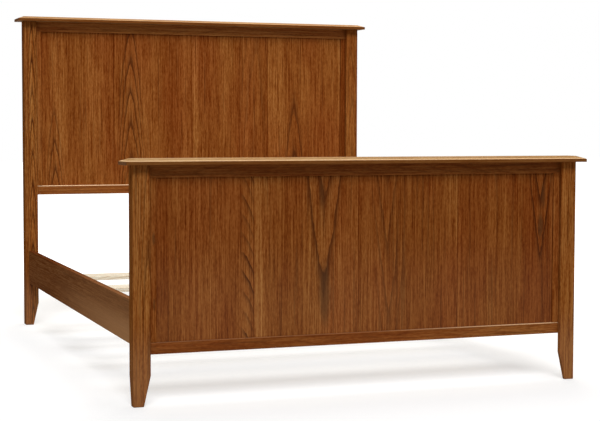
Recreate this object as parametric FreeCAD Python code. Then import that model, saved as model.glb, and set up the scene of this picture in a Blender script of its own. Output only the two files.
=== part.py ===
import FreeCAD, Part
import os

os.makedirs("parts", exist_ok=True)

# A knock-down panel bed for a queen mattress, in millimetres. X runs across the bed,
# +Y from the foot to the head and Z up. The origin is on the floor, under its middle.
# Both ends turn their faces to the foot. Each is drawn with its face at Y = 0 and its right
# side on +X, then moved to its place; the left side is a mirror image.

# Overall sizes, over the posts
bed_width = 1670.0
bed_length = 2176.0
head_post_height = 1416.0
foot_post_height = 806.0

# Posts, each of two boards glued into an L: a face board, and a side board behind its outer
# edge. They taper to the floor on their inner edges, apart from the side boards at the head.
post_width = 60.0
post_depth = 58.0
post_wall = 16.0
post_edge_radius = 2.0
taper_height = 104.0
taper_inset = 24.0
foot_chamfer = 2.5

# Caps: a square edge below, then one long bevel up to the flat top
cap_thickness = 22.0
cap_side_overhang = 28.0
cap_face_overhang = 30.0
cap_square_edge = 10.0
cap_bevel_run = 29.0
cap_arris = 1.0

# Panel frames, screwed to the backs of the face boards, with part of each stile in sight
frame_thickness = 22.0
head_top_rail_height = 46.0
head_bottom_rail_height = 42.0
head_bottom_rail_underside = 610.0
foot_top_rail_height = 42.0
foot_bottom_rail_height = 40.0
foot_bottom_rail_underside = 172.5
stile_in_sight = 24.0
frame_arris = 1.0

# Panels of tongued boards, loose in the groove of the frame, which also holds the stub
# tenons of the stiles
panel_thickness = 8.0
groove_depth = 9.0
groove_clearance = 0.2
stub_end_gap = 0.8
panel_float = 1.5
board_count = 4
board_width = 386.0
tongue_length = 5.0
tongue_thickness = 3.0
tongue_clearance = 0.15

# Side rails, from the back of the foot's frame, inside the side boards, to the head's posts
side_rail_thickness = 25.0
side_rail_height = 152.0
side_rail_underside = 196.0
side_rail_clearance = 0.5
side_rail_arris = 2.0

# Cleats on the side rails, and the slats that lie on them
cleat_width = 24.0
cleat_height = 25.0
cleat_lift = 17.0
cleat_end_gap = 20.0
slat_count = 4
slat_width = 125.0
slat_thickness = 18.0
end_slat_distance = 300.0
slat_end_gap = 3.0
slat_arris = 1.5

# Hook plates in the ends of the side rails, slotted plates in what they meet
plate_width = 16.0
plate_height = 110.0
plate_thickness = 2.0
plate_clearance = 0.15
hook_spacing = 44.0
hook_thickness = 3.0
hook_neck_height = 14.0
hook_lip_drop = 8.0
hook_lip_thickness = 3.0
hook_clearance = 0.3
pocket_clearance = 1.0

# Dowels between the caps and what they lie on
dowel_diameter = 8.0
dowel_in_cap = 11.0
dowel_below_cap = 20.0
rail_dowel_count = 3
rail_dowel_spacing = 500.0
dowel_clearance = 0.1
dowel_end_gap = 0.5

# Countersunk wood screws
screw_diameter = 4.0
screw_head_diameter = 8.0
screw_head_height = 2.4
screw_point_height = 5.0
screw_clearance = 0.1
recess_width = 1.0
recess_length = 4.0
recess_depth = 1.4
hook_plate_screw_length = 28.0
slotted_plate_screw_length = 13.0
plate_screw_margin = 8.0
frame_screw_length = 34.0
stile_screw_count = 3
stile_screw_margin = 60.0
cleat_screw_length = 40.0
cleat_screw_count = 5
cleat_screw_margin = 36.0
slat_screw_length = 36.0

# The least cosine at which an edge still counts as lying along an axis
nearly_along = 0.9

# Places that several pieces share
outer_x = bed_width / 2
outer_y = bed_length / 2
post_inner_x = outer_x - post_width
post_middle_x = outer_x - post_width / 2
corner_x = outer_x - post_wall
stile_inner_x = post_inner_x - stile_in_sight
panel_edge_x = stile_inner_x + groove_depth - panel_float
frame_screw_x = (post_inner_x + corner_x) / 2
frame_faces = (post_wall, post_wall + frame_thickness)
frame_middle = post_wall + frame_thickness / 2
head_face_y = outer_y - post_depth
foot_frame_back_y = outer_y - post_wall - frame_thickness
side_rail_outer_x = corner_x - side_rail_clearance
side_rail_inner_x = side_rail_outer_x - side_rail_thickness
side_rail_middle_x = side_rail_outer_x - side_rail_thickness / 2
side_rail_middle_z = side_rail_underside + side_rail_height / 2
side_rail_top = side_rail_underside + side_rail_height
cleat_underside = side_rail_underside + cleat_lift
cleat_top = cleat_underside + cleat_height
cleat_middle_x = side_rail_inner_x - cleat_width / 2
slat_top = cleat_top + slat_thickness
end_slat_y = head_face_y - end_slat_distance

# The ends differ in their heights, and in what the side rails meet there: the faces of the
# posts at the head, and the back of the frame at the foot
ends = {
    "head": {
        "face_y": head_face_y,
        "rail_stop": head_face_y,
        "post_height": head_post_height,
        "top_rail": (head_post_height - head_top_rail_height, head_post_height),
        "bottom_rail": (
            head_bottom_rail_underside,
            head_bottom_rail_underside + head_bottom_rail_height,
        ),
        "stile_screws_from": head_bottom_rail_underside + head_bottom_rail_height,
        "side_board_taper": 0.0,
    },
    "foot": {
        "face_y": -outer_y,
        "rail_stop": foot_frame_back_y,
        "post_height": foot_post_height,
        "top_rail": (foot_post_height - foot_top_rail_height, foot_post_height),
        "bottom_rail": (
            foot_bottom_rail_underside,
            foot_bottom_rail_underside + foot_bottom_rail_height,
        ),
        "stile_screws_from": side_rail_top,
        "side_board_taper": taper_inset,
    },
}


def vector(x, y, z):
    return FreeCAD.Vector(x, y, z)


def span(middle, size):
    return (middle - size / 2, middle + size / 2)


def box(x, y, z):
    corner = vector(x[0], y[0], z[0])
    return Part.makeBox(x[1] - x[0], y[1] - y[0], z[1] - z[0], corner)


def prism(points, along):
    outline = Part.makePolygon(points + [points[0]])
    return Part.Face(outline).extrude(along)


def long_edges(solid, axis, least):
    """The edges that run nearly along one axis and are at least so long."""
    found = []
    for edge in solid.Edges:
        way = edge.Vertexes[-1].Point - edge.Vertexes[0].Point
        if way.Length >= least and abs(way.dot(axis)) > nearly_along * way.Length:
            found.append(edge)
    return found


def mirror_x(shape):
    return shape.mirror(vector(0, 0, 0), vector(1, 0, 0))


def mirror_y(shape):
    return shape.mirror(vector(0, 0, 0), vector(0, 1, 0))


def at_end(shape, end):
    """A piece of one end, drawn with the faces of the posts at Y = 0, in its place."""
    return shape.translated(vector(0, ends[end]["face_y"], 0))


def at_stop(shape, end):
    """Hardware, drawn where a side rail comes along +Y to a stop at Y = 0, in its place."""
    placed = shape.translated(vector(0, ends[end]["rail_stop"], 0))
    return mirror_y(placed) if end == "foot" else placed


def on_side(shape, side):
    return mirror_x(shape) if side == "left" else shape


def both_sides(shapes):
    return shapes + [mirror_x(shape) for shape in shapes]


def screw(head, direction, length):
    """A countersunk screw, its head flush at a point, driven in one direction."""
    shank = screw_diameter / 2
    tip = head + direction * (length - screw_point_height)
    body = Part.makeCone(screw_head_diameter / 2, shank, screw_head_height, head, direction)
    body = body.fuse(Part.makeCylinder(shank, length - screw_point_height, head, direction))
    body = body.fuse(Part.makeCone(shank, 0, screw_point_height, tip, direction))
    sideways = vector(direction.z, direction.x, direction.y)
    upwards = direction.cross(sideways)
    for long_way, short_way in ((sideways, upwards), (upwards, sideways)):
        corner = head - long_way * (recess_length / 2) - short_way * (recess_width / 2)
        points = [
            corner,
            corner + long_way * recess_length,
            corner + long_way * recess_length + short_way * recess_width,
            corner + short_way * recess_width,
        ]
        body = body.cut(prism(points, direction * recess_depth))
    return body.removeSplitter()


def screw_hole(head, direction, length):
    """The room for a screw: the same form, wider all round by its clearance."""
    shank = screw_diameter / 2 + screw_clearance
    rim = screw_head_diameter / 2 + screw_clearance
    hole = Part.makeCone(rim, shank, screw_head_height, head, direction)
    return hole.fuse(Part.makeCylinder(shank, length + screw_clearance, head, direction))


def frame_screw_heads(end):
    """Screws from the back of the frame into one face board, in the stile and both rails."""
    low = ends[end]["stile_screws_from"] + stile_screw_margin
    high = ends[end]["top_rail"][0] - stile_screw_margin
    step = (high - low) / (stile_screw_count - 1)
    heights = [low + index * step for index in range(stile_screw_count)]
    heights += [sum(ends[end][rail]) / 2 for rail in ("top_rail", "bottom_rail")]
    return [vector(frame_screw_x, frame_faces[1], z) for z in heights]


def frame_screw_rooms(end):
    way = vector(0, -1, 0)
    return [screw_hole(head, way, frame_screw_length) for head in frame_screw_heads(end)]


def cap_dowel_places(end):
    """The axes of the dowels under one cap: one in each board of the posts, then the rail's."""
    places = []
    for way in (-1, 1):
        places.append((way * post_middle_x, post_wall / 2))
        places.append((way * (outer_x - post_wall / 2), (post_wall + post_depth) / 2))
    for index in range(rail_dowel_count):
        x = (index - (rail_dowel_count - 1) / 2) * rail_dowel_spacing
        places.append((x, frame_middle))
    return [vector(x, y, ends[end]["post_height"]) for x, y in places]


def dowel_hole(place, below, above):
    radius = dowel_diameter / 2 + dowel_clearance
    bottom = place - vector(0, 0, below + dowel_end_gap)
    height = below + above + 2 * dowel_end_gap
    return Part.makeCylinder(radius, height, bottom)


def cap_dowels(end):
    radius = dowel_diameter / 2
    height = dowel_in_cap + dowel_below_cap
    dowels = []
    for place in cap_dowel_places(end):
        bottom = place - vector(0, 0, dowel_below_cap)
        dowels.append(Part.makeCylinder(radius, height, bottom))
    return dowels


def with_dowel_holes(body, end):
    for place in cap_dowel_places(end):
        body = body.cut(dowel_hole(place, dowel_below_cap, 0))
    return body


def plate_screw_places():
    """Where the three screws of a plate stand, on the plane where a side rail stops."""
    reach = plate_height / 2 - plate_screw_margin
    return [
        vector(side_rail_middle_x, 0, side_rail_middle_z + step * reach) for step in (-1, 0, 1)
    ]


def hook_seats():
    """The heights at which the necks of the hooks rest on the slotted plate."""
    seat = side_rail_middle_z - hook_neck_height / 2
    return [seat + step * hook_spacing / 2 for step in (-1, 1)]


def slot_height():
    """A slot lets the whole hook in, which then drops until its neck is seated."""
    return hook_lip_drop + hook_neck_height + pocket_clearance


def plate_room(depth):
    """The recess that one plate is let into: beyond the stop, or in the rail if depth < 0."""
    return box(
        span(side_rail_middle_x, plate_width + 2 * plate_clearance),
        tuple(sorted((0, depth))),
        span(side_rail_middle_z, plate_height + 2 * plate_clearance),
    )


def slotted_plate_rooms(end):
    """What is cut beyond the stop: a plate's recess, the hooks' pockets and screw holes."""
    pocket_depth = plate_thickness + hook_clearance + hook_lip_thickness + pocket_clearance
    rooms = [plate_room(plate_thickness)]
    for seat in hook_seats():
        rooms.append(
            box(
                span(side_rail_middle_x, hook_thickness + 2 * pocket_clearance),
                (0, pocket_depth),
                (seat - hook_lip_drop - pocket_clearance, seat + slot_height() + pocket_clearance),
            )
        )
    for place in plate_screw_places():
        rooms.append(screw_hole(place, vector(0, 1, 0), slotted_plate_screw_length))
    return [at_stop(room, end) for room in rooms]


def hook_plate_rooms(end):
    """What is cut in the end of the rail: a plate's recess and its screw holes."""
    rooms = [plate_room(-plate_thickness)]
    for place in plate_screw_places():
        rooms.append(screw_hole(place, vector(0, -1, 0), hook_plate_screw_length))
    return [at_stop(room, end) for room in rooms]


def slotted_plate():
    plate = box(
        span(side_rail_middle_x, plate_width),
        (0, plate_thickness),
        span(side_rail_middle_z, plate_height),
    )
    for seat in hook_seats():
        plate = plate.cut(
            box(
                span(side_rail_middle_x, hook_thickness + 2 * hook_clearance),
                (0, plate_thickness),
                (seat, seat + slot_height()),
            )
        )
    for place in plate_screw_places():
        plate = plate.cut(screw_hole(place, vector(0, 1, 0), slotted_plate_screw_length))
    return plate


def hook_plate():
    plate = box(
        span(side_rail_middle_x, plate_width),
        (-plate_thickness, 0),
        span(side_rail_middle_z, plate_height),
    )
    lip_y = plate_thickness + hook_clearance
    tip_y = lip_y + hook_lip_thickness
    hook_x = side_rail_middle_x - hook_thickness / 2
    for seat in hook_seats():
        hook = prism(
            [
                vector(hook_x, -plate_thickness, seat),
                vector(hook_x, lip_y, seat),
                vector(hook_x, lip_y, seat - hook_lip_drop),
                vector(hook_x, tip_y, seat - hook_lip_drop),
                vector(hook_x, tip_y, seat + hook_neck_height),
                vector(hook_x, -plate_thickness, seat + hook_neck_height),
            ],
            vector(hook_thickness, 0, 0),
        )
        plate = plate.fuse(hook)
    for place in plate_screw_places():
        plate = plate.cut(screw_hole(place, vector(0, -1, 0), hook_plate_screw_length))
    return plate.removeSplitter()


def free_edges(edges):
    """Those of a post board's edges that don't lie in the plane where its two boards meet."""
    reach = [(edge, edge.BoundBox.YMin - post_wall, edge.BoundBox.YMax - post_wall) for edge in edges]
    return [edge for edge, near, far in reach if abs(near) + abs(far) > post_edge_radius]


def eased_post_board(body):
    base = [edge for edge in body.Edges if edge.BoundBox.ZMax < foot_chamfer / 2]
    body = body.makeChamfer(foot_chamfer, free_edges(base))
    upright = long_edges(body, vector(0, 0, 1), taper_height / 2)
    return body.makeFillet(post_edge_radius, free_edges(upright))


def post_face(end):
    body = box((post_inner_x, outer_x), (0, post_wall), (0, ends[end]["post_height"]))
    taper = prism(
        [
            vector(post_inner_x, 0, taper_height),
            vector(post_inner_x + taper_inset, 0, 0),
            vector(post_inner_x, 0, 0),
        ],
        vector(0, post_wall, 0),
    )
    body = with_dowel_holes(eased_post_board(body.cut(taper)), end)
    for room in frame_screw_rooms(end):
        body = body.cut(room)
    body = at_end(body, end)
    for room in slotted_plate_rooms(end):
        body = body.cut(room)
    return body


def post_side(end):
    body = box((corner_x, outer_x), (post_wall, post_depth), (0, ends[end]["post_height"]))
    if ends[end]["side_board_taper"]:
        taper = prism(
            [
                vector(corner_x, post_depth, taper_height),
                vector(corner_x, post_depth - ends[end]["side_board_taper"], 0),
                vector(corner_x, post_depth, 0),
            ],
            vector(post_wall, 0, 0),
        )
        body = body.cut(taper)
    return at_end(with_dowel_holes(eased_post_board(body), end), end)


def cap(end):
    low = ends[end]["post_height"]
    half_x = outer_x + cap_side_overhang
    near_y = -cap_face_overhang
    far_y = post_depth + cap_face_overhang
    slab = box((-half_x, half_x), (near_y, far_y), (low, low + cap_square_edge))
    wires = []
    for inset, z in ((0, low + cap_square_edge), (cap_bevel_run, low + cap_thickness)):
        corners = [
            vector(-half_x + inset, near_y + inset, z),
            vector(half_x - inset, near_y + inset, z),
            vector(half_x - inset, far_y - inset, z),
            vector(-half_x + inset, far_y - inset, z),
        ]
        wires.append(Part.makePolygon(corners + [corners[0]]))
    body = slab.fuse(Part.makeLoft(wires, True, True)).removeSplitter()
    low_edges = [edge for edge in body.Edges if edge.BoundBox.ZMax < low + cap_arris]
    body = body.makeFillet(cap_arris, low_edges)
    for place in cap_dowel_places(end):
        body = body.cut(dowel_hole(place, 0, dowel_in_cap))
    return at_end(body, end)


def free_frame_edges(body, rail):
    """A bottom rail is eased all along. The top of a top rail meets the cap and stays square."""
    edges = long_edges(body, vector(1, 0, 0), post_inner_x)
    if rail == "top_rail":
        return [edge for edge in edges if edge.BoundBox.ZMax < body.BoundBox.ZMax - frame_arris]
    return edges


def frame_rail(end, rail):
    low, high = ends[end][rail]
    body = box((-corner_x, corner_x), frame_faces, (low, high))
    body = body.makeFillet(frame_arris, free_frame_edges(body, rail))
    groove_z = (low, low + groove_depth) if rail == "top_rail" else (high - groove_depth, high)
    groove_y = span(frame_middle, panel_thickness + 2 * groove_clearance)
    body = body.cut(box((-corner_x, corner_x), groove_y, groove_z))
    if rail == "top_rail":
        body = with_dowel_holes(body, end)
    for room in both_sides(frame_screw_rooms(end)):
        body = body.cut(room)
    body = at_end(body, end)
    for room in both_sides(slotted_plate_rooms(end)):
        body = body.cut(room)
    return body


def stile(end):
    low = ends[end]["bottom_rail"][1]
    high = ends[end]["top_rail"][0]
    body = box((stile_inner_x, corner_x), frame_faces, (low, high))
    stub = groove_depth - stub_end_gap
    tenons = box(
        (stile_inner_x + groove_depth, corner_x),
        span(frame_middle, panel_thickness),
        (low - stub, high + stub),
    )
    groove = box(
        (stile_inner_x, stile_inner_x + groove_depth),
        span(frame_middle, panel_thickness + 2 * groove_clearance),
        (low, high),
    )
    body = body.fuse(tenons).removeSplitter().cut(groove)
    for room in frame_screw_rooms(end):
        body = body.cut(room)
    body = at_end(body, end)
    for room in slotted_plate_rooms(end):
        body = body.cut(room)
    return body


def panel_boards(end):
    """The boards of one panel, from the left. Each joint is a board's visible width from the
    next joint or from the right stile, and the first board takes what the others leave."""
    low = ends[end]["bottom_rail"][1] - groove_depth
    high = ends[end]["top_rail"][0] + groove_depth - panel_float
    joints = [stile_inner_x - step * board_width for step in range(1, board_count)]
    edges = [-panel_edge_x] + sorted(joints) + [panel_edge_x]
    faces = span(frame_middle, panel_thickness)
    tongue_y = span(frame_middle, tongue_thickness)
    slot_y = span(frame_middle, tongue_thickness + 2 * tongue_clearance)
    boards = []
    for left, right in zip(edges, edges[1:]):
        board = box((left, right), faces, (low, high))
        if right < panel_edge_x:
            board = board.fuse(box((right, right + tongue_length), tongue_y, (low, high)))
        if left > -panel_edge_x:
            slot_x = (left, left + tongue_length + tongue_clearance)
            board = board.cut(box(slot_x, slot_y, (low, high)))
        boards.append(at_end(board.removeSplitter(), end))
    return boards


def rail_stops():
    """The foot's stop and the head's: which way each lies from the middle, and how far."""
    return (-1, ends["foot"]["rail_stop"]), (1, ends["head"]["rail_stop"])


def cleat_screw_heads():
    """The screws go through the cleat into the side rail."""
    low, high = [way * (stop - cleat_end_gap - cleat_screw_margin) for way, stop in rail_stops()]
    step = (high - low) / (cleat_screw_count - 1)
    x = side_rail_inner_x - cleat_width
    z = cleat_underside + cleat_height / 2
    return [vector(x, low + index * step, z) for index in range(cleat_screw_count)]


def slat_middles():
    """The slats stand evenly between the two that are nearest to the posts."""
    spacing = 2 * end_slat_y / (slat_count - 1)
    return [index * spacing - end_slat_y for index in range(slat_count)]


def slat_screw_heads():
    return [vector(cleat_middle_x, y, slat_top) for y in slat_middles()]


def side_rail():
    body = box(
        (side_rail_inner_x, side_rail_outer_x),
        tuple(way * stop for way, stop in rail_stops()),
        (side_rail_underside, side_rail_top),
    )
    body = body.makeFillet(side_rail_arris, long_edges(body, vector(0, 1, 0), side_rail_height * 2))
    for end in ends:
        for room in hook_plate_rooms(end):
            body = body.cut(room)
    for head in cleat_screw_heads():
        body = body.cut(screw_hole(head, vector(1, 0, 0), cleat_screw_length))
    return body


def cleat():
    body = box(
        (side_rail_inner_x - cleat_width, side_rail_inner_x),
        tuple(way * (stop - cleat_end_gap) for way, stop in rail_stops()),
        (cleat_underside, cleat_top),
    )
    for head in cleat_screw_heads():
        body = body.cut(screw_hole(head, vector(1, 0, 0), cleat_screw_length))
    for head in slat_screw_heads():
        body = body.cut(screw_hole(head, vector(0, 0, -1), slat_screw_length))
    return body


def slat(middle):
    half_x = side_rail_inner_x - slat_end_gap
    body = box((-half_x, half_x), span(middle, slat_width), (cleat_top, slat_top))
    body = body.makeFillet(slat_arris, long_edges(body, vector(1, 0, 0), half_x))
    hole = screw_hole(vector(cleat_middle_x, middle, slat_top), vector(0, 0, -1), slat_screw_length)
    return body.cut(hole).cut(mirror_x(hole))


def at_all_stops(shapes):
    return both_sides([at_stop(shape, end) for end in ends for shape in shapes])


nodes = {}
for end in ends:
    nodes[end + "_cap"] = cap(end)
    for rail in ("top_rail", "bottom_rail"):
        nodes[end + "_" + rail] = frame_rail(end, rail)
    for number, board in enumerate(panel_boards(end), 1):
        nodes["%s_panel_board_%d" % (end, number)] = board
    for side in ("left", "right"):
        corner = end + "_" + side
        nodes[corner + "_post_face"] = on_side(post_face(end), side)
        nodes[corner + "_post_side"] = on_side(post_side(end), side)
        nodes[corner + "_stile"] = on_side(stile(end), side)
        nodes[corner + "_hook_plate"] = on_side(at_stop(hook_plate(), end), side)
        nodes[corner + "_slotted_plate"] = on_side(at_stop(slotted_plate(), end), side)

for side in ("left", "right"):
    nodes[side + "_side_rail"] = on_side(side_rail(), side)
    nodes[side + "_cleat"] = on_side(cleat(), side)

for number, middle in enumerate(slat_middles(), 1):
    nodes["slat_%d" % number] = slat(middle)

hook_plate_screws = [
    screw(head, vector(0, -1, 0), hook_plate_screw_length) for head in plate_screw_places()
]
slotted_plate_screws = [
    screw(head, vector(0, 1, 0), slotted_plate_screw_length) for head in plate_screw_places()
]
frame_screws = [
    at_end(screw(head, vector(0, -1, 0), frame_screw_length), end)
    for end in ends
    for head in frame_screw_heads(end)
]
cleat_screws = [screw(head, vector(1, 0, 0), cleat_screw_length) for head in cleat_screw_heads()]
slat_screws = [screw(head, vector(0, 0, -1), slat_screw_length) for head in slat_screw_heads()]
dowels = [at_end(dowel, end) for end in ends for dowel in cap_dowels(end)]

nodes["hook_plate_screws"] = Part.makeCompound(at_all_stops(hook_plate_screws))
nodes["slotted_plate_screws"] = Part.makeCompound(at_all_stops(slotted_plate_screws))
nodes["frame_screws"] = Part.makeCompound(both_sides(frame_screws))
nodes["cleat_screws"] = Part.makeCompound(both_sides(cleat_screws))
nodes["slat_screws"] = Part.makeCompound(both_sides(slat_screws))
nodes["cap_dowels"] = Part.makeCompound(dowels)

for name, shape in nodes.items():
    shape.exportStep("parts/" + name + ".step")
    box_size = shape.BoundBox
    print(
        "%-24s %3d solid(s)  %s  %7.1f x %7.1f x %7.1f"
        % (
            name,
            len(shape.Solids),
            "valid" if shape.isValid() else "NOT VALID",
            box_size.XLength,
            box_size.YLength,
            box_size.ZLength,
        )
    )
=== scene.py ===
import math
import random

import bmesh
import bpy
from mathutils import Euler, Matrix, Vector


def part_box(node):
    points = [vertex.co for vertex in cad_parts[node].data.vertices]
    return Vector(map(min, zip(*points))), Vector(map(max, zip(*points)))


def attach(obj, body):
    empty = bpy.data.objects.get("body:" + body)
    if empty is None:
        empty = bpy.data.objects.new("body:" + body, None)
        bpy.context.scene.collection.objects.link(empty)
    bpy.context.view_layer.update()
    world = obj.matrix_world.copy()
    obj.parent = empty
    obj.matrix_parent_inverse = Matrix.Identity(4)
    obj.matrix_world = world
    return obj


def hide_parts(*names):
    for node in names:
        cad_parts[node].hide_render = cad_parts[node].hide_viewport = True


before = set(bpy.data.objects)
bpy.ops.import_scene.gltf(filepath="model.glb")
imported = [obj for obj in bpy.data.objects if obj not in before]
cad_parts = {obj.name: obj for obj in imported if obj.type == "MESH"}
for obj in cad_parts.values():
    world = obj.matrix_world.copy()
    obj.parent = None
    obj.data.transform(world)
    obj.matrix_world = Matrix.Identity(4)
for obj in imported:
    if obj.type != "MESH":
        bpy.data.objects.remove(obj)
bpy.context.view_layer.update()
ends = ("head", "foot")
sides = ("left", "right")
postBoards = ("_post_face", "_post_side")

tolerance = {"near": 0.001, "touching": 0.0001, "onFace": 0.0002, "facing": 0.9}
finishing = {"bevelSteps": 3, "bevelAngle": 20, "smoothAngle": 35, "drillSides": 24}


def deselectAll():
    bpy.ops.object.select_all(action="DESELECT")


def activate(piece):
    deselectAll()
    piece.select_set(True)
    bpy.context.view_layer.objects.active = piece


def addBlock(name, low, high):
    deselectAll()
    bpy.ops.mesh.primitive_cube_add(size=1, location=(low + high) / 2)
    block = bpy.context.active_object
    block.name = name
    block.data.name = name
    block.scale = high - low
    bpy.ops.object.transform_apply(location=True, rotation=True, scale=True)
    return block


def startEdit(piece):
    activate(piece)
    bpy.ops.object.mode_set(mode="EDIT")


def endEdit():
    bpy.ops.object.mode_set(mode="OBJECT")


def near(first, second):
    return abs(first - second) < tolerance["near"]


def touching(first, second):
    return abs(first - second) < tolerance["touching"]


def onFace(first, second):
    # also takes in the flattest strip of an eased arris
    return abs(first - second) < tolerance["onFace"]


def facing(normal, axis, way=1):
    # whether a face looks one way along an axis
    return getattr(normal, axis) * way > tolerance["facing"]


def pick(kind, test):
    # selects the points, edges or faces that pass the test
    bpy.ops.mesh.select_mode(type=kind)
    bpy.ops.mesh.select_all(action="DESELECT")
    mesh = bmesh.from_edit_mesh(bpy.context.edit_object.data)
    for part in {"VERT": mesh.verts, "EDGE": mesh.edges, "FACE": mesh.faces}[kind]:
        part.select_set(bool(test(part)))
    bmesh.update_edit_mesh(bpy.context.edit_object.data)


def pickPoints(test):
    pick("VERT", lambda point: test(point.co))


def pickEdges(test):
    # an edge is picked where both of its ends pass
    pick("EDGE", lambda edge: all(test(point.co) for point in edge.verts))


def pickFaces(test):
    pick("FACE", lambda face: test(face.calc_center_median(), face.normal))


def sawLine(axis, place):
    # a straight line across whatever is selected, square to one axis
    normal = [0.0, 0.0, 0.0]
    normal["xyz".index(axis)] = 1.0
    bpy.ops.mesh.bisect(plane_co=[place * part for part in normal], plane_no=normal)


def sawLines(axis, *places):
    for place in places:
        bpy.ops.mesh.select_mode(type="FACE")
        bpy.ops.mesh.select_all(action="SELECT")
        sawLine(axis, place)


def pullFaces(shift):
    bpy.ops.mesh.extrude_region_move(TRANSFORM_OT_translate={"value": shift})


def sinkPocket(wanted, low, high, shift):
    # outlines a rectangle on one flat face and pushes it in
    for index, axis in enumerate("xyz"):
        if not shift[index]:
            for place in (low[index], high[index]):
                pickFaces(wanted)
                sawLine(axis, place)
    pickFaces(lambda middle, normal: wanted(middle, normal)
              and all(shift[index] or low[index] < middle[index] < high[index] for index in range(3)))
    pullFaces(shift)


def easeEdges(piece, width):
    activate(piece)
    bevel = piece.modifiers.new("eased", "BEVEL")
    bevel.width = width
    bevel.segments = finishing["bevelSteps"]
    bevel.limit_method = "ANGLE"
    bevel.angle_limit = math.radians(finishing["bevelAngle"])
    bpy.ops.object.modifier_apply(modifier=bevel.name)


def settle(piece, finish, *nodes):
    # flats stay flat in the shading and the rounded arrises smooth
    activate(piece)
    bpy.ops.object.shade_smooth_by_angle(angle=math.radians(finishing["smoothAngle"]))
    normals = piece.modifiers.new("flats", "WEIGHTED_NORMAL")
    normals.keep_sharp = True
    bpy.ops.object.modifier_apply(modifier=normals.name)
    piece.data.materials.clear()
    piece.data.materials.append(finish)
    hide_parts(*nodes)
    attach(piece, "root")


def middleOf(node):
    low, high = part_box(node)
    return (low + high) / 2


def innerFace(node, side):
    # where the face that looks to the middle of the bed stands
    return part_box(node)[1 if side == "left" else 0].x


def newMaterial(name):
    material = bpy.data.materials.new(name)
    material.use_nodes = True
    tree = material.node_tree
    tree.nodes.clear()
    return material, tree


def feed(tree, socket, value):
    # a socket takes either a plain value or the output of another node
    if isinstance(value, bpy.types.NodeSocket):
        tree.links.new(value, socket)
    else:
        socket.default_value = value


def calc(tree, operation, first, second=0.0):
    node = tree.nodes.new("ShaderNodeMath")
    node.operation = operation
    feed(tree, node.inputs[0], first)
    feed(tree, node.inputs[1], second)
    return node.outputs[0]


def apart(tree, place, middle):
    return calc(tree, "ABSOLUTE", calc(tree, "SUBTRACT", place, middle))


def stretch(tree, value, low, high, newLow=0.0, newHigh=1.0):
    node = tree.nodes.new("ShaderNodeMapRange")
    node.interpolation_type = "SMOOTHSTEP"
    feed(tree, node.inputs["Value"], value)
    node.inputs["From Min"].default_value = low
    node.inputs["From Max"].default_value = high
    node.inputs["To Min"].default_value = newLow
    node.inputs["To Max"].default_value = newHigh
    return node.outputs["Result"]


def combine(tree, x, y, z):
    node = tree.nodes.new("ShaderNodeCombineXYZ")
    for socket, value in zip(node.inputs, (x, y, z)):
        feed(tree, socket, value)
    return node.outputs[0]


def noise(tree, place, detail=2.0, roughness=0.5):
    node = tree.nodes.new("ShaderNodeTexNoise")
    feed(tree, node.inputs["Vector"], place)
    node.inputs["Scale"].default_value = 1.0
    node.inputs["Detail"].default_value = detail
    node.inputs["Roughness"].default_value = roughness
    return node.outputs["Fac"]


def blendColours(tree, amount, first, second, kind="MIX"):
    node = tree.nodes.new("ShaderNodeMix")
    node.data_type = "RGBA"
    node.blend_type = kind
    feed(tree, node.inputs["Factor"], amount)
    feed(tree, node.inputs["A"], first)
    feed(tree, node.inputs["B"], second)
    return node.outputs["Result"]


def showSurface(tree, shader):
    output = tree.nodes.new("ShaderNodeOutputMaterial")
    tree.links.new(shader.outputs[0], output.inputs["Surface"])


def grey(level):
    return (level, level, level, 1.0)


def fromScreen(red, green, blue):
    # a colour as a screen shows it, 0 to 255, to the light that it stands for
    linear = []
    for part in (red, green, blue):
        part /= 255
        linear.append(part / 12.92 if part <= 0.04045 else ((part + 0.055) / 1.055) ** 2.4)
    return (*linear, 1.0)


oak = {
    "yellow": fromScreen(145, 86, 37),
    "red": fromScreen(140, 77, 32),
    "line": fromScreen(74, 33, 11),       # the open, darker wood at the start of each year's ring
    "pore": fromScreen(60, 28, 10),
    "rubbed": fromScreen(246, 206, 162),  # pale colour of painted highlights, painted sheen and painted floor bounce
    "knot": fromScreen(70, 46, 26),
    "grainContrast": 1.2,
    "streakContrast": 0.19,
    "broadContrast": 0.32,
    "hairContrast": 0.4,
    "poreContrast": 0.3,
    "endTone": 0.5,                       # end grain takes more of the stain
    "roughness": 0.5,
    "gloss": 0.01,
    "bump": 0.35,
}
postOak = dict(oak, yellow=fromScreen(149, 91, 40), red=fromScreen(144, 82, 34))
# the caps' oak is paler than the rest: painted light standing for the lit bevel
capOak = dict(oak, yellow=fromScreen(168, 129, 83), red=fromScreen(159, 115, 68),
              rubbed=fromScreen(250, 214, 166))
railOak = dict(oak, yellow=fromScreen(120, 69, 33), red=fromScreen(114, 65, 31),
               rubbed=fromScreen(214, 160, 110))
pine = {
    "yellow": fromScreen(250, 245, 228),
    "red": fromScreen(247, 237, 214),
    "line": fromScreen(208, 172, 124),
    "pore": fromScreen(200, 164, 120),
    "rubbed": fromScreen(250, 240, 220),
    "knot": fromScreen(150, 110, 70),
    "grainContrast": 0.12,
    "streakContrast": 0.08,
    "broadContrast": 0.06,
    "hairContrast": 0.15,
    "poreContrast": 0.2,
    "endTone": 0.85,
    "roughness": 0.6,
    "gloss": 0.3,
    "bump": 0.2,
}
beech = dict(pine, yellow=fromScreen(214, 170, 120), red=fromScreen(204, 152, 106))

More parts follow.
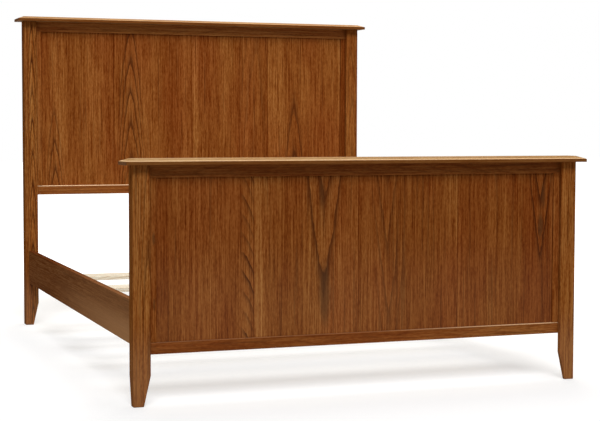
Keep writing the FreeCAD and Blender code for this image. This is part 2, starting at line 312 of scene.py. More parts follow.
# patterns in every wood: cells a metre across and along the grain, detail, roughness and starting place
patterns = {
    "sway": (4.0, 1.6, 2.0, 0.5, 0.0),
    "waver": (70.0, 16.0, 2.0, 0.6, 7.0),
    "longGrain": (210.0, 2.5, 1.0, 0.6, 1.0),
    "middleGrain": (230.0, 12.0, 1.0, 0.6, 6.0),
    "shortGrain": (260.0, 60.0, 1.0, 0.6, 5.0),
    "streaks": (38.0, 0.7, 3.0, 0.6, 2.0),
    "broad": (9.0, 0.5, 2.0, 0.5, 8.0),
    "hairs": (130.0, 2.4, 1.0, 0.5, 9.0),
    "pores": (1150.0, 42.0, 1.0, 0.5, 3.0),
    "hue": (7.0, 1.8, 2.0, 0.5, 4.0),
}
seedSteps = (3.1, 5.3)                    # how far one whole seed moves a pattern across and along
grainShares = {"longGrain": 0.38, "middleGrain": 0.34, "shortGrain": 0.28}
rings = {
    "sway": 4.0,
    "waver": 0.35,
    "deeper": 90.0,                       # rings for each metre into the wood
    "start": 1.0,                         # how dark a ring is at its start,
    "levels": ((0.1, 0.85), (0.28, 0.3), (0.6, 0.0), (0.95, 0.0)),    # at places on its way,
    "end": 0.7,                           # and at its end
    "fade": (0.85, 0.95),                 # where the outermost arch ends
}
toning = {
    "middle": (0.3, 0.7),                 # the part of a pattern's range that its contrast is spread over
    "warmShift": 0.2,
    "endFrom": (0.6, 0.95),               # how square to the grain a face is that counts as end grain
    "bandEdge": (0.8, 1.2),
    "tintPowers": (0.76, 1.24, 1.8),      # the stain is redder where it is darker
    "knotBend": 0.02,
    "knotEdge": (0.35, 1.0),
    "paintedLightEdge": (0.5, 1.5),
    "hairs": (0.6, 0.72),
    "pores": (0.56, 0.7),
    "poresInLines": (0.0, 0.8, 0.4, 1.0),
}
relief = {"pores": -1.0, "grain": 0.4, "distance": 0.0003, "openWood": 1.6, "rougher": 0.15}

# how a piece lies in its log: which axes run across the face, into it and along the grain
lie = {
    "upright": ("X", "Y", "Z"),
    "crosswise": ("Z", "Y", "X"),
    "flatCrosswise": ("Y", "Z", "X"),
    "lengthwise": ("Z", "X", "Y"),
}

plainFigure = {
    "lie": "upright",
    "heart": 0.0,        # the middle of the arches, across the face
    "half": 0.05,        # half the width of an arch one pitch away from its tip
    "pitch": 0.15,       # from one arch to the next along the grain; under 0 they point down
    "tip": 0.0,          # where one tip is, along the grain
    "wedge": 0.45,       # from 0 for round arches to 1 for plain wedges
    "arches": 0.8,       # how strongly the arches are drawn
    "spread": 0.05,      # how far from the heart they stay that strong
    "farLines": 0.2,     # and how strong they are beyond
    "wander": 0.02,      # how far the heart strays along the piece
    "face": 0.0,         # the depth at which the piece's face lies
    "outermost": 99,     # how many arches stand beyond the one at the tip
    "uneven": 0.3,       # how much the arches differ in strength
    "tone": 1.0,
    "coarseness": 1.0,   # how strongly the fine grain shows
    "warmth": 0.5,       # from 0, yellower, to 1, redder
    "bands": (),         # (middle, half width, gain) of lighter and darker streaks
    "knots": (),         # (across, along, half width, half length, share) of grey-brown spots
    "rubbed": (),        # (direction, middle, half width, share) of paler places: painted highlights, sheen and floor bounce
    "rubbedFrom": (0.0, 1.0, 1.0),    # two places along the piece, and the part of that share at the first
    "seed": 0.0,
}


def startLog(tree, wood, look):
    # where a point of the piece lies in its log
    coords = tree.nodes.new("ShaderNodeTexCoord")
    place = tree.nodes.new("ShaderNodeSeparateXYZ")
    normal = tree.nodes.new("ShaderNodeSeparateXYZ")
    tree.links.new(coords.outputs["Object"], place.inputs[0])
    tree.links.new(coords.outputs["Normal"], normal.inputs[0])
    across, into, along = lie[look["lie"]]
    return {
        "tree": tree,
        "wood": wood,
        "look": look,
        "across": place.outputs[across],
        "into": place.outputs[into],
        "along": place.outputs[along],
        "sawnEnd": calc(tree, "ABSOLUTE", normal.outputs[along]),
    }


def pattern(log, name):
    # noise drawn out along the grain
    tree = log["tree"]
    acrossScale, alongScale, detail, roughness, start = patterns[name]
    place = combine(tree, calc(tree, "MULTIPLY", log["across"], acrossScale),
                    calc(tree, "MULTIPLY", log["into"], acrossScale),
                    calc(tree, "MULTIPLY", log["along"], alongScale))
    seedAcross, seedAlong = (step * log["look"]["seed"] for step in seedSteps)
    shift = tree.nodes.new("ShaderNodeVectorMath")
    shift.operation = "ADD"
    tree.links.new(place, shift.inputs[0])
    shift.inputs[1].default_value = (seedAcross, start, seedAlong)
    return noise(tree, shift.outputs[0], detail, roughness)


def ringProfile(tree, turns):
    # dark at a ring's start, then paler
    ramp = tree.nodes.new("ShaderNodeValToRGB")
    tree.links.new(calc(tree, "FRACT", turns), ramp.inputs["Fac"])
    stops = ramp.color_ramp.elements
    stops[1].color = grey(rings["end"])
    stops[0].color = grey(rings["start"])
    for position, level in rings["levels"]:
        stops.new(position).color = grey(level)
    return ramp.outputs["Color"]


def yearRings(log, waver):
    # arches about the heart that close up into straight lines further out
    tree = log["tree"]
    look = log["look"]
    sway = calc(tree, "SUBTRACT", pattern(log, "sway"), 0.5)
    fromHeart = calc(tree, "ADD", calc(tree, "SUBTRACT", log["across"], look["heart"]),
                     calc(tree, "MULTIPLY", sway, rings["sway"] * look["wander"]))
    fromHeart = calc(tree, "ABSOLUTE", fromHeart)
    widths = calc(tree, "DIVIDE", fromHeart, look["half"])
    turns = calc(tree, "ADD", calc(tree, "MULTIPLY", widths, 1 - look["wedge"]), look["wedge"])
    turns = calc(tree, "MULTIPLY", turns, widths)
    pastTip = calc(tree, "DIVIDE", calc(tree, "SUBTRACT", log["along"], look["tip"]), look["pitch"])
    deeper = calc(tree, "MULTIPLY", calc(tree, "SUBTRACT", log["into"], look["face"]), rings["deeper"])
    for more in (pastTip, deeper, calc(tree, "MULTIPLY", waver, rings["waver"])):
        turns = calc(tree, "ADD", turns, more)

    dice = tree.nodes.new("ShaderNodeTexWhiteNoise")
    dice.noise_dimensions = "1D"
    tree.links.new(calc(tree, "ADD", calc(tree, "FLOOR", turns), look["seed"]), dice.inputs["W"])
    strength = stretch(tree, dice.outputs["Value"], 0.0, 1.0, 1 - look["uneven"], 1.0)
    nearHeart = stretch(tree, fromHeart, look["spread"], 2 * look["spread"], 1.0, look["farLines"])
    fadeFrom, fadeTo = (look["outermost"] + part for part in rings["fade"])
    nearHeart = calc(tree, "MULTIPLY", nearHeart, stretch(tree, turns, fadeFrom, fadeTo, 1.0, 0.0))
    lines = ringProfile(tree, turns)
    for share in (strength, nearHeart, look["arches"]):
        lines = calc(tree, "MULTIPLY", lines, share)
    return lines


def fineGrain(log):
    tree = log["tree"]
    grain = 0.0
    for name, share in grainShares.items():
        grain = calc(tree, "ADD", grain, calc(tree, "MULTIPLY", pattern(log, name), share))
    return grain


def toneOf(log, grain):
    # how light or dark the stain has come out
    tree = log["tree"]
    wood = log["wood"]
    look = log["look"]
    gain = calc(tree, "MULTIPLY", stretch(tree, log["sawnEnd"], *toning["endFrom"], 1.0, wood["endTone"]),
                look["tone"])
    contrasts = (
        (grain, wood["grainContrast"] * look["coarseness"]),
        (pattern(log, "streaks"), wood["streakContrast"]),
        (pattern(log, "broad"), wood["broadContrast"]),
    )
    for shade, contrast in contrasts:
        gain = calc(tree, "MULTIPLY", stretch(tree, shade, *toning["middle"], 1 - contrast / 2,
                                              1 + contrast / 2), gain)
    for middle, halfWidth, level in look["bands"]:
        inner, outer = (halfWidth * part for part in toning["bandEdge"])
        band = stretch(tree, apart(tree, log["across"], middle), inner, outer, level, 1.0)
        gain = calc(tree, "MULTIPLY", gain, band)
    return gain


def addKnots(log, colour, waver):
    tree = log["tree"]
    for knotAcross, knotAlong, halfWidth, halfLength, share in log["look"]["knots"]:
        bent = calc(tree, "ADD", log["across"], calc(tree, "MULTIPLY", waver, toning["knotBend"]))
        dx = calc(tree, "DIVIDE", calc(tree, "SUBTRACT", bent, knotAcross), halfWidth)
        dz = calc(tree, "DIVIDE", calc(tree, "SUBTRACT", log["along"], knotAlong), halfLength)
        squares = calc(tree, "ADD", calc(tree, "MULTIPLY", dx, dx), calc(tree, "MULTIPLY", dz, dz))
        amount = stretch(tree, calc(tree, "SQRT", squares), *toning["knotEdge"], share, 0.0)
        colour = blendColours(tree, amount, colour, log["wood"]["knot"])
    return colour


# paints paler places over the wood: painted highlights, painted sheen and painted floor bounce
def addPaintedLight(log, colour):
    tree = log["tree"]
    first, second, least = log["look"]["rubbedFrom"]
    for direction, middle, halfWidth, share in log["look"]["rubbed"]:
        inner, outer = (halfWidth * part for part in toning["paintedLightEdge"])
        amount = stretch(tree, apart(tree, log[direction], middle), inner, outer, share, 0.0)
        amount = calc(tree, "MULTIPLY", amount, stretch(tree, log["along"], first, second, least, 1.0))
        colour = blendColours(tree, amount, colour, log["wood"]["rubbed"])
    return colour


def woodMaterial(name, wood, **figure):
    look = {**plainFigure, "gloss": wood["gloss"], "roughness": wood["roughness"], **figure}
    material, tree = newMaterial(name)
    log = startLog(tree, wood, look)
    waver = calc(tree, "SUBTRACT", pattern(log, "waver"), 0.5)
    lines = yearRings(log, waver)
    grain = fineGrain(log)
    hairs = stretch(tree, pattern(log, "hairs"), *toning["hairs"])
    pores = stretch(tree, pattern(log, "pores"), *toning["pores"])
    pores = calc(tree, "MULTIPLY", pores, stretch(tree, lines, *toning["poresInLines"]))

    # the colour: its hue, its tone, and what is drawn over them
    warm = toning["warmShift"] * (look["warmth"] - 0.5)
    hueFrom, hueTo = (place - warm for place in toning["middle"])
    hue = stretch(tree, pattern(log, "hue"), hueFrom, hueTo)
    colour = blendColours(tree, hue, wood["yellow"], wood["red"])
    gain = toneOf(log, grain)
    tint = combine(tree, *(calc(tree, "POWER", gain, power) for power in toning["tintPowers"]))
    colour = blendColours(tree, 1.0, colour, tint, "MULTIPLY")
    colour = blendColours(tree, lines, colour, wood["line"])
    colour = addKnots(log, colour, waver)
    colour = blendColours(tree, calc(tree, "MULTIPLY", hairs, wood["hairContrast"]), colour, wood["line"])
    colour = blendColours(tree, calc(tree, "MULTIPLY", pores, wood["poreContrast"]), colour, wood["pore"])
    colour = addPaintedLight(log, colour)

    shader = tree.nodes.new("ShaderNodeBsdfPrincipled")
    tree.links.new(colour, shader.inputs["Base Color"])
    rougher = stretch(tree, calc(tree, "ADD", pores, lines), 0.0, relief["openWood"],
                      look["roughness"], look["roughness"] + relief["rougher"])
    feed(tree, shader.inputs["Roughness"], rougher)
    shader.inputs["Specular IOR Level"].default_value = look["gloss"]
    height = calc(tree, "ADD", calc(tree, "MULTIPLY", pores, relief["pores"]),
                  calc(tree, "MULTIPLY", grain, relief["grain"]))
    bump = tree.nodes.new("ShaderNodeBump")
    bump.inputs["Strength"].default_value = wood["bump"]
    bump.inputs["Distance"].default_value = relief["distance"]
    tree.links.new(height, bump.inputs["Height"])
    tree.links.new(bump.outputs[0], shader.inputs["Normal"])
    showSurface(tree, shader)
    return material


def figureFor(name, **chosen):
    # each piece is sawn from its own place in the log
    dice = random.Random(name)
    figure = {
        "heart": dice.uniform(-0.1, 0.1),
        "pitch": dice.choice((-1, 1)) * dice.uniform(0.12, 0.3),
        "tip": dice.uniform(0, 0.3),
        "tone": dice.uniform(0.95, 1.04),
        "warmth": dice.uniform(0.2, 0.8),
        "seed": dice.uniform(0, 20),
    }
    figure.update(chosen)
    return figure


# Holes for the dowels and screws, and the recesses for the plates
drills = {"dowel": 0.0041, "dowelDepth": 0.0205, "capDepth": 0.0115, "screwHead": 0.0041,
          "screwShank": 0.0021, "headDepth": 0.0024, "screwDepth": 0.034, "proud": 0.00005}
plates = {"width": 0.0163, "height": 0.1103, "depth": 0.002, "pocketWidth": 0.005, "pocketDepth": 0.0063,
          "pocketZ": ((0.233, 0.268), (0.277, 0.312))}


def drill(piece, start, way, depth, wide, narrow):
    # a round hole from its mouth along one way, with its radius at the mouth and at the end
    way = Vector(way)
    deselectAll()
    bpy.ops.mesh.primitive_cone_add(vertices=finishing["drillSides"], radius1=wide, radius2=narrow,
                                    depth=depth + 2 * drills["proud"], location=start + way * depth / 2,
                                    rotation=way.to_track_quat("Z", "Y").to_euler())
    bit = bpy.context.active_object
    activate(piece)
    hole = piece.modifiers.new("hole", "BOOLEAN")
    hole.operation = "DIFFERENCE"
    hole.solver = "EXACT"
    hole.object = bit
    bpy.ops.object.modifier_apply(modifier=hole.name)
    bpy.data.objects.remove(bit)


def dowelHole(piece, mouth, way, depth):
    drill(piece, mouth, way, depth, drills["dowel"], drills["dowel"])


def screwHole(piece, x, z, backY):
    mouth = Vector((x, backY, z))
    forward = (0, -1, 0)
    drill(piece, mouth, forward, drills["screwDepth"], drills["screwShank"], drills["screwShank"])
    drill(piece, mouth, forward, drills["headDepth"], drills["screwHead"], drills["screwShank"])


def screwX(end, side):
    face, back = (innerFace(end + "_" + side + board, side) for board in postBoards)
    return (face + back) / 2


def sinkPlate(faceY, way, side):
    # the recess of one steel plate, and where its floor is
    middle = middleOf(side + "_side_rail")
    low = Vector((middle.x - plates["width"] / 2, faceY, middle.z - plates["height"] / 2))
    high = Vector((middle.x + plates["width"] / 2, faceY, middle.z + plates["height"] / 2))
    sinkPocket(lambda place, normal: facing(normal, "y", -way) and onFace(place.y, faceY), low, high,
               (0, way * plates["depth"], 0))
    return middle, faceY + way * plates["depth"]


def sinkHookPockets(middle, floorY, way):
    # two deeper pockets in that floor, for the hooks
    for lowZ, highZ in plates["pocketZ"]:
        half = plates["pocketWidth"] / 2
        sinkPocket(lambda place, normal: facing(normal, "y", -way) and onFace(place.y, floorY),
                   Vector((middle.x - half, 0, lowZ)), Vector((middle.x + half, 0, highZ)),
                   (0, way * (plates["pocketDepth"] - plates["depth"]), 0))


# Posts: a face board with a side board glued behind its outer edge, seen as one L
post = {
    "taperHeight": 0.104,
    "taperInset": 0.024,
    "easing": 0.0022,
    "figure": {"half": 0.022, "spread": 0.03, "arches": 0.5, "gloss": 0.0,
               # paler near the floor: painted floor bounce
               "rubbed": (("along", 0.0, 0.2, 0.06),)},
}
postFigures = {
    "head_left": {"heart": -0.799, "half": 0.014, "pitch": 0.145, "tip": 1.235, "arches": 1.2,
                  "spread": 0.03, "wander": 0.002, "seed": 9.1},
    "head_right": {},
    "foot_left": {"heart": -0.78, "half": 0.02, "pitch": 0.3, "tip": 0.5, "arches": 0.6, "seed": 3.3},
    "foot_right": {"heart": 0.86, "half": 0.03, "pitch": 0.5, "tip": 0.5, "arches": 0.4, "seed": 12.9,
                   "tone": 1.02},
}


def makePost(end, side):
    corner = end + "_" + side
    low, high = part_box(corner + "_post_face")
    sideLow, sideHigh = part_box(corner + "_post_side")
    outward = -1 if side == "left" else 1
    piece = addBlock(end + side.title() + "Post", low, high)
    startEdit(piece)
    sawLines("x", innerFace(corner + "_post_side", side))
    pickFaces(lambda middle, normal: facing(normal, "y") and sideLow.x < middle.x < sideHigh.x)
    pullFaces((0, sideHigh.y - high.y, 0))
    sawLines("z", post["taperHeight"])
    innerX = innerFace(corner + "_post_face", side)
    pickPoints(lambda place: near(place.z, 0) and near(place.x, innerX))
    bpy.ops.transform.translate(value=(outward * post["taperInset"], 0, 0))
    if end == "foot":
        pickPoints(lambda place: near(place.z, 0) and near(place.y, sideHigh.y))
        bpy.ops.transform.translate(value=(0, -post["taperInset"], 0))
    endEdit()
    easeEdges(piece, post["easing"])
    startEdit(piece)
    pickEdges(lambda place: touching(place.z, post["taperHeight"]))
    bpy.ops.mesh.mark_sharp()
    if end == "head":
        sinkHookPockets(*sinkPlate(low.y, 1, side), 1)
    endEdit()
    nodes = [corner + board for board in postBoards]
    for node in nodes:
        top = middleOf(node)
        top.z = high.z
        dowelHole(piece, top, (0, 0, -1), drills["dowelDepth"])
    figure = {"heart": (low.x + high.x) / 2, "face": low.y, **post["figure"], **postFigures[corner]}
    settle(piece, woodMaterial(piece.name, postOak, **figureFor(corner, **figure)), *nodes)


for end in ends:
    for side in sides:
        makePost(end, side)
print("posts made")

# Caps: a square edge, one long bevel and a flat top
cap = {
    "squareEdge": 0.0115,
    "bevelRun": 0.029,
    "easing": 0.0011,
    "darkEdgeBand": (0.003, 0.4),    # half width and tone of a darker band along the square edges
    # a paler band on the bevel just above the square edge: a painted highlight of the arris
    "arrisAbove": 0.0022,
    "arrisHalf": 0.0014,
    "arrisHighlight": {"head": 0.3, "foot": 0.5},
    "tone": {"head": 0.84, "foot": 1.0},
    "figure": {"lie": "flatCrosswise", "half": 0.02, "gloss": 0.006, "roughness": 0.4, "coarseness": 0.5},
}
railDowels = (-0.5, 0.0, 0.5)


def makeCap(end):
    node = end + "_cap"
    low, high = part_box(node)
    piece = addBlock(end + "Cap", low, Vector((high.x, high.y, low.z + cap["squareEdge"])))
    startEdit(piece)
    pickFaces(lambda middle, normal: facing(normal, "z"))
    bpy.ops.mesh.inset(thickness=cap["bevelRun"], depth=high.z - low.z - cap["squareEdge"])
    endEdit()
    easeEdges(piece, cap["easing"])
    places = [middleOf(end + "_" + side + board) for side in sides for board in postBoards]
    places += [Vector((x, middleOf(end + "_top_rail").y, 0)) for x in railDowels]
    for place in places:
        dowelHole(piece, Vector((place.x, place.y, low.z)), (0, 0, 1), drills["capDepth"])
    bands = tuple((edge, *cap["darkEdgeBand"]) for edge in (low.y, high.y))
    arrisZ = low.z + cap["squareEdge"] + cap["arrisAbove"]
    # painted highlight along the arris
    arris = ("into", arrisZ, cap["arrisHalf"], cap["arrisHighlight"][end])
    figure = figureFor(node, face=high.z, bands=bands, rubbed=(arris,), tone=cap["tone"][end],
                       **cap["figure"])
    settle(piece, woodMaterial(piece.name, capOak, **figure), node)


for end in ends:
    makeCap(end)
print("caps made")

# Panel frames: grooved rails, and stiles with stub tenons in the grooves
framing = {
    "easing": 0.0009,
    "groove": 0.0082,
    "grooveDepth": 0.009,
    "stub": 0.0082,
    "ledgeRound": 0.0035,
    "ledgeSteps": 5,
    "screwMargin": 0.06,
    "railFigure": {"lie": "crosswise", "half": 0.02, "arches": 0.3, "coarseness": 0.7},
    "topFigure": {"gloss": 0.04, "warmth": 0.8},
    # the head rail's raised tone is painted fill light in the shadow of its cap
    "topTone": {"head": 1.08, "foot": 0.9},
    "bottomFigure": {"roughness": 0.3, "tone": 0.97, "warmth": 0.3},
    "ledgeGloss": {"head": 0.2, "foot": 0.06},
    # a paler band along the rounded ledge: a painted highlight, fading along the foot rail
    "ledgeHighlight": {"head": (0.003, 0.95), "foot": (0.0024, 0.7)},
    "ledgeHighlightFrom": {"head": (0.0, 1.0, 1.0), "foot": (0.0, 0.62, 0.12)},
    "stileFigure": {"half": 0.03, "arches": 0.4, "warmth": 0.4},
    "stileTone": {"head_left": 0.88, "head_right": 0.67, "foot_left": 0.9, "foot_right": 0.91},
}
stileKnots = {"stile": "foot_left_stile", "fromEdge": 0.008, "places": (0.56, 0.34),
              "shape": (0.007, 0.03, 0.5)}


def makeFrameRail(end, which):
    node = end + "_" + which + "_rail"
    low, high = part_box(node)
    piece = addBlock(end + which.title() + "Rail", low, high)
    middle = (low + high) / 2
    inward = 1 if which == "bottom" else -1
    startEdit(piece)
    sawLines("y", middle.y - framing["groove"] / 2, middle.y + framing["groove"] / 2)
    pickFaces(lambda place, normal: facing(normal, "z", inward) and near(place.y, middle.y))
    pullFaces((0, 0, -inward * framing["grooveDepth"]))
    if which == "bottom":
        pickEdges(lambda place: touching(place.z, high.z) and touching(place.y, low.y))
        bpy.ops.mesh.bevel(offset=framing["ledgeRound"], segments=framing["ledgeSteps"])
    endEdit()
    easeEdges(piece, framing["easing"])
    for side in sides:
        screwHole(piece, screwX(end, side), middle.z, high.y)
    look = {"heart": middle.z, "face": low.y, **framing["railFigure"]}
    if which == "top":
        look.update(tone=framing["topTone"][end], **framing["topFigure"])
        for x in railDowels:
            dowelHole(piece, Vector((x, middle.y, high.z)), (0, 0, -1), drills["dowelDepth"])
    else:
        # painted highlight along the top of the ledge
        ledge = ("across", high.z, *framing["ledgeHighlight"][end])
        look.update(rubbed=(ledge,), rubbedFrom=framing["ledgeHighlightFrom"][end],
                    gloss=framing["ledgeGloss"][end], **framing["bottomFigure"])
    settle(piece, woodMaterial(piece.name, oak, **figureFor(node, **look)), node)


def makeStile(end, side):
    node = end + "_" + side + "_stile"
    low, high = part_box(node)
    low.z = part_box(end + "_bottom_rail")[1].z
    high.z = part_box(end + "_top_rail")[0].z
    piece = addBlock(end + side.title() + "Stile", low, high)
    middle = (low + high) / 2
    inward = 1 if side == "left" else -1
    edgeX = innerFace(node, side)
    grooveX = edgeX - inward * framing["grooveDepth"]
    startEdit(piece)
    sawLines("x", grooveX)
    sawLines("y", middle.y - framing["groove"] / 2, middle.y + framing["groove"] / 2)
    for way in (-1, 1):
        pickFaces(lambda place, normal: facing(normal, "z", way) and near(place.y, middle.y)
                  and (place.x - grooveX) * inward < 0)
        pullFaces((0, 0, way * framing["stub"]))
    pickFaces(lambda place, normal: facing(normal, "x", inward) and near(place.y, middle.y)
              and touching(place.x, edgeX))
    pullFaces((grooveX - edgeX, 0, 0))
    endEdit()
    easeEdges(piece, framing["easing"])
    if end == "foot":
        startEdit(piece)
        sinkHookPockets(*sinkPlate(high.y, -1, side), -1)
        endEdit()
    screwLow = low.z if end == "head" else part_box("left_side_rail")[1].z    # over the side rail at the foot
    screwLow += framing["screwMargin"]
    screwHigh = high.z - framing["screwMargin"]
    for z in (screwLow, (screwLow + screwHigh) / 2, screwHigh):
        screwHole(piece, screwX(end, side), z, high.y)
    figure = figureFor(node, tone=framing["stileTone"][end + "_" + side], face=low.y,
                       **framing["stileFigure"])
    if node == stileKnots["stile"]:
        knotX = edgeX - inward * stileKnots["fromEdge"]
        figure["knots"] = tuple((knotX, z, *stileKnots["shape"]) for z in stileKnots["places"])
    settle(piece, woodMaterial(piece.name, oak, **figure), node)


for end in ends:
    for which in ("top", "bottom"):
        makeFrameRail(end, which)
    for side in sides:
        makeStile(end, side)
print("panel frames made")

# Panel boards with tongues and grooves, each with the figure that it shows
board = {
    "inPanel": 4,
    "easing": 0.0006,
    "tongue": 0.005,
    "tongueThickness": 0.003,
    "slack": 0.00015,
    "seam": (0.002, 0.55),    # half width and tone of the stain that gathers where two boards meet
    "tone": {"head": 0.885, "foot": 0.825},
    # the foot boards grow paler towards the floor: painted floor bounce
    "rubbed": {"head": (), "foot": (("along", 0.15, 0.3, 0.022),)},
}
boardFigures = {
    "foot_panel_board_1": {"heart": -0.403, "half": 0.026, "pitch": -0.066, "tip": 0.28, "wedge": 1.25,
                           "arches": 1.0, "spread": 0.03, "farLines": 0.0, "wander": 0.006, "seed": 1.3,
                           "uneven": 0.55, "bands": ((-0.62, 0.09, 0.94),)},
    "foot_panel_board_2": {"heart": -0.15, "half": 0.05, "pitch": -0.28, "tip": 0.415, "wedge": 0.55,
                           "arches": 0.9, "spread": 0.055, "farLines": 0.0, "wander": 0.004, "seed": 2.1,
                           "warmth": 0.5, "tone": 0.9, "outermost": 0, "bands": ((-0.392, 0.014, 1.15),),
                           "knots": ((-0.146, 0.35, 0.03, 0.15, 0.55), (-0.158, 0.7, 0.016, 0.07, 0.4))},
    "foot_panel_board_3": {"heart": 0.1, "half": 0.03, "pitch": -0.25, "tip": 0.27, "wedge": 0.8,
                           "arches": 0.6, "spread": 0.03, "warmth": 0.5, "seed": 3.7, "outermost": 1},
    "foot_panel_board_4": {"heart": 0.702, "half": 0.03, "pitch": -0.19, "tip": 0.475, "wedge": 0.8,
                           "arches": 1.2, "spread": 0.03, "wander": 0.005, "seed": 4.2, "warmth": 0.7,
                           "tone": 0.79, "outermost": 0,
                           "bands": ((0.384, 0.02, 1.08), (0.735, 0.003, 0.72)),
                           "knots": ((0.701, 0.57, 0.015, 0.06, 0.6), (0.713, 0.68, 0.012, 0.06, 0.45))},
    "head_panel_board_1": {"heart": -0.688, "half": 0.024, "pitch": 0.13, "tip": 0.982, "arches": 0.85,
                           "spread": 0.026, "farLines": 0.0, "wander": 0.005, "seed": 5.9, "warmth": 0.4,
                           "outermost": 0, "bands": ((-0.672, 0.0018, 0.75),)},
    "head_panel_board_2": {"heart": -0.323, "half": 0.03, "pitch": 0.15, "tip": 0.935, "arches": 0.95,
                           "spread": 0.04, "farLines": 0.05, "wander": 0.006, "seed": 6.4, "warmth": 0.5,
                           "tone": 0.82, "outermost": 3,
                           "bands": ((-0.124, 0.045, 0.84), (-0.362, 0.002, 0.8), (-0.264, 0.002, 0.8))},
    "head_panel_board_3": {"heart": 0.3, "half": 0.05, "pitch": 0.5, "tip": 0.3, "arches": 0.3, "seed": 7.7,
                           "bands": ((-0.004, 0.014, 1.2), (0.045, 0.033, 0.82))},
    "head_panel_board_4": {"heart": 0.507, "half": 0.038, "pitch": 0.24, "tip": 1.02, "arches": 0.95,
                           "spread": 0.045, "farLines": 0.0, "wander": 0.006, "seed": 8.8, "warmth": 0.4,
                           "outermost": 0, "bands": ((0.458, 0.002, 0.78), (0.537, 0.002, 0.78))},
}


def makeBoard(node, figure):
    low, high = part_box(node)
    end, number = node.split("_")[0], int(node[-1])
    tongued = number < board["inPanel"]
    grooved = number > 1
    if tongued:
        high.x -= board["tongue"]
    middle = (low + high) / 2
    piece = addBlock(end + "PanelBoard" + str(number), low, high)
    startEdit(piece)
    for joined, way, slack in ((tongued, 1, 0.0), (grooved, -1, board["slack"])):
        if joined:
            half = board["tongueThickness"] / 2 + slack
            sawLines("y", middle.y - half, middle.y + half)
            pickFaces(lambda place, normal: facing(normal, "x", way) and near(place.y, middle.y))
            pullFaces((board["tongue"] + slack, 0, 0))
    endEdit()
    easeEdges(piece, board["easing"])
    common = {"face": low.y, "tone": board["tone"][end], "rubbed": board["rubbed"][end]}
    look = figureFor(node, **{**common, **figure})
    seams = [low.x] * grooved + [high.x] * tongued
    look["bands"] = look.get("bands", ()) + tuple((seam, *board["seam"]) for seam in seams)
    settle(piece, woodMaterial(piece.name, oak, **look), node)


for node, figure in boardFigures.items():
    makeBoard(node, figure)
print("panel boards made")

# Side rails, from the foot's frame to the head's posts, paler towards the foot and the lower edge: a painted
# sheen
sideRail = {
    "easing": 0.0022,
    "rubbed": (4.0, 0.24),         # half width, past both ends, and share of the painted sheen
    "lowerSheen": (0.08, 0.5),
    "topDarkBand": (0.003, 0.58),     # half width and tone of a darker band along the top edge
    "figure": {"lie": "lengthwise", "half": 0.03, "pitch": 0.5, "tone": 1.0, "gloss": 0.0,
               "coarseness": 0.9, "arches": 0.2, "rubbedFrom": (0.6, -1.15, 0.08)},
}


def makeSideRail(side):
    node = side + "_side_rail"
    low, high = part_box(node)
    piece = addBlock(side + "SideRail", low, high)
    easeEdges(piece, sideRail["easing"])
    startEdit(piece)
    sinkPlate(high.y, -1, side)
    sinkPlate(low.y, 1, side)
    endEdit()
    # painted sheen: paler overall and along the lower edge, most towards the foot
    rubbed = (("along", 0.0, *sideRail["rubbed"]), ("across", low.z, *sideRail["lowerSheen"]))
    figure = figureFor(node, heart=middleOf("left_side_rail").z, face=low.x if side == "left" else high.x,
                       rubbed=rubbed, bands=((high.z, *sideRail["topDarkBand"]),), **sideRail["figure"])
    settle(piece, woodMaterial(piece.name, railOak, **figure), node)


for side in sides:
    makeSideRail(side)
print("side rails made")

# The slats, cleats and hardware are the frame's own
slatFigure = {"lie": "flatCrosswise", "half": 0.02, "pitch": 0.6}
cleatFigure = {"lie": "lengthwise", "heart": 0.22, "half": 0.02, "pitch": 0.6}
dowelFigure = {"half": 0.01}
zinc = {"cells": (420, 420, 60), "detail": 3.0, "dark": (0.5, 0.5, 0.48, 1), "pale": (0.72, 0.72, 0.7, 1),
        "grainSpread": (0.2, 0.8), "roughness": (0.28, 0.46)}


def steelMaterial():
    material, tree = newMaterial("zincSteel")
    coords = tree.nodes.new("ShaderNodeTexCoord")
    place = tree.nodes.new("ShaderNodeMapping")
    place.inputs["Scale"].default_value = zinc["cells"]
    tree.links.new(coords.outputs["Object"], place.inputs["Vector"])
    grain = noise(tree, place.outputs[0], zinc["detail"])
    shader = tree.nodes.new("ShaderNodeBsdfPrincipled")
    shader.inputs["Metallic"].default_value = 1.0
    feed(tree, shader.inputs["Base Color"], blendColours(tree, grain, zinc["dark"], zinc["pale"]))
    feed(tree, shader.inputs["Roughness"], stretch(tree, grain, *zinc["grainSpread"], *zinc["roughness"]))
    showSurface(tree, shader)
    return material


steel = steelMaterial()
beechWood = woodMaterial("beech", beech, **dowelFigure)
cleatWood = woodMaterial("cleatPine", pine, **cleatFigure)
for name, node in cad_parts.items():
    if "plate" in name or "screws" in name:
        finish = steel
    elif "dowels" in name:
        finish = beechWood
    elif "cleat" in name:
        finish = cleatWood
    elif name.startswith("slat_"):
        middle = middleOf(name)
        figure = figureFor(name, heart=middle.y, face=middle.z, **slatFigure)
        finish = woodMaterial(name + "Pine", pine, **figure)
    else:
        continue
    node.data.materials.clear()
    node.data.materials.append(finish)
print("slats and hardware finished")

# A pale floor and a white backdrop, which reflections see at a part of their strength
studio = {"floorSize": 60.0, "floorColour": 0.55, "floorGlow": 0.52, "glowRises": (1.6, 4.5), "sky": 0.17,
          "reflected": 0.2}


def backdropSeen(tree):
    # one where the camera looks, also through a window, less in a reflection, nought for the light itself
    path = tree.nodes.new("ShaderNodeLightPath")
    seen = calc(tree, "MAXIMUM", path.outputs["Is Camera Ray"], path.outputs["Is Transmission Ray"])
    reflected = calc(tree, "MULTIPLY", path.outputs["Is Glossy Ray"], studio["reflected"])
    return calc(tree, "MAXIMUM", seen, reflected)


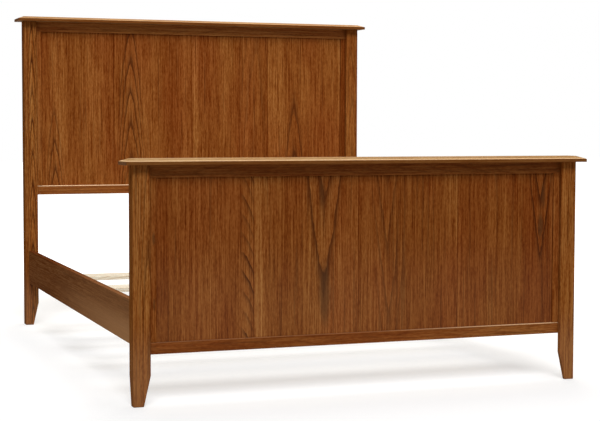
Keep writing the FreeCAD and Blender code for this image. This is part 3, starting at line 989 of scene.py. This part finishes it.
deselectAll()
bpy.ops.mesh.primitive_plane_add(size=studio["floorSize"], location=(0, 0, 0))
floor = bpy.context.active_object
floor.name = "floor"
floorMaterial, tree = newMaterial("floorPaint")
paint = tree.nodes.new("ShaderNodeBsdfDiffuse")
paint.inputs["Color"].default_value = grey(studio["floorColour"])
floorPlace = tree.nodes.new("ShaderNodeTexCoord")
distance = tree.nodes.new("ShaderNodeVectorMath")
distance.operation = "LENGTH"
tree.links.new(floorPlace.outputs["Object"], distance.inputs[0])
farGlow = stretch(tree, distance.outputs["Value"], *studio["glowRises"], studio["floorGlow"], 1.0)
glow = tree.nodes.new("ShaderNodeEmission")
feed(tree, glow.inputs["Strength"], calc(tree, "MULTIPLY", backdropSeen(tree), farGlow))
both = tree.nodes.new("ShaderNodeAddShader")
tree.links.new(paint.outputs[0], both.inputs[0])
tree.links.new(glow.outputs[0], both.inputs[1])
showSurface(tree, both)
floor.data.materials.append(floorMaterial)

world = bpy.data.worlds.new("studio")
bpy.context.scene.world = world
world.use_nodes = True
tree = world.node_tree
tree.nodes.clear()
sky = tree.nodes.new("ShaderNodeBackground")
sky.inputs["Color"].default_value = grey(1.0)
whiter = calc(tree, "MULTIPLY", backdropSeen(tree), 1.0 - studio["sky"])
feed(tree, sky.inputs["Strength"], calc(tree, "ADD", studio["sky"], whiter))
worldOutput = tree.nodes.new("ShaderNodeOutputWorld")
tree.links.new(sky.outputs[0], worldOutput.inputs["Surface"])

# Two large lamps, and a large far softbox as the key light
lamps = {
    "overhead": {"place": (0.3, -0.2, 3.9), "aim": (0.3, -0.2, 0), "size": (3.0, 2.6), "power": 75,
                 "colour": (1.0, 1.0, 1.0)},
    "behind": {"place": (1.4, 2.9, 3.8), "aim": (0.4, 0.4, 0.7), "size": (3.0, 2.4), "power": 80,
               "colour": (1.0, 0.88, 0.7)},
}
key = {"height": 46.0, "toTheLeft": 14.0, "spread": 24.0, "strength": 1.88}


def addToScene(name, data):
    holder = bpy.data.objects.new(name, data)
    bpy.context.scene.collection.objects.link(holder)
    return holder


for name, lamp in lamps.items():
    light = bpy.data.lights.new(name, "AREA")
    light.shape = "RECTANGLE"
    light.size, light.size_y = lamp["size"]
    light.energy = lamp["power"]
    light.color = lamp["colour"]
    holder = addToScene(name, light)
    holder.location = lamp["place"]
    aim = Vector(lamp["aim"]) - Vector(lamp["place"])
    holder.rotation_euler = aim.to_track_quat("-Z", "Y").to_euler()

keyLight = bpy.data.lights.new("key", "SUN")
keyLight.energy = key["strength"]
keyLight.angle = math.radians(key["spread"])
holder = addToScene("key", keyLight)
holder.rotation_euler = (math.radians(90 - key["height"]), 0, math.radians(-key["toTheLeft"]))

# The camera, found from the bed's straight edges
view = {"place": (-1.9681, -5.7754, 0.9421), "turn": 20.1534, "down": 3.3921, "roll": 0.1263,
        "focalPixels": 1456.87, "imageWidth": 600, "sensorWidth": 36.0}
cameraData = bpy.data.cameras.new("camera")
cameraData.sensor_width = view["sensorWidth"]
cameraData.lens = view["focalPixels"] / view["imageWidth"] * view["sensorWidth"]
camera = addToScene("camera", cameraData)
camera.location = view["place"]
level = Euler((math.radians(90 - view["down"]), 0, math.radians(-view["turn"]))).to_matrix()
camera.rotation_euler = (level @ Matrix.Rotation(math.radians(view["roll"]), 3, "Z")).to_euler()
bpy.context.scene.camera = camera
bpy.context.scene.view_settings.view_transform = "Standard"
print("floor, light and camera set")
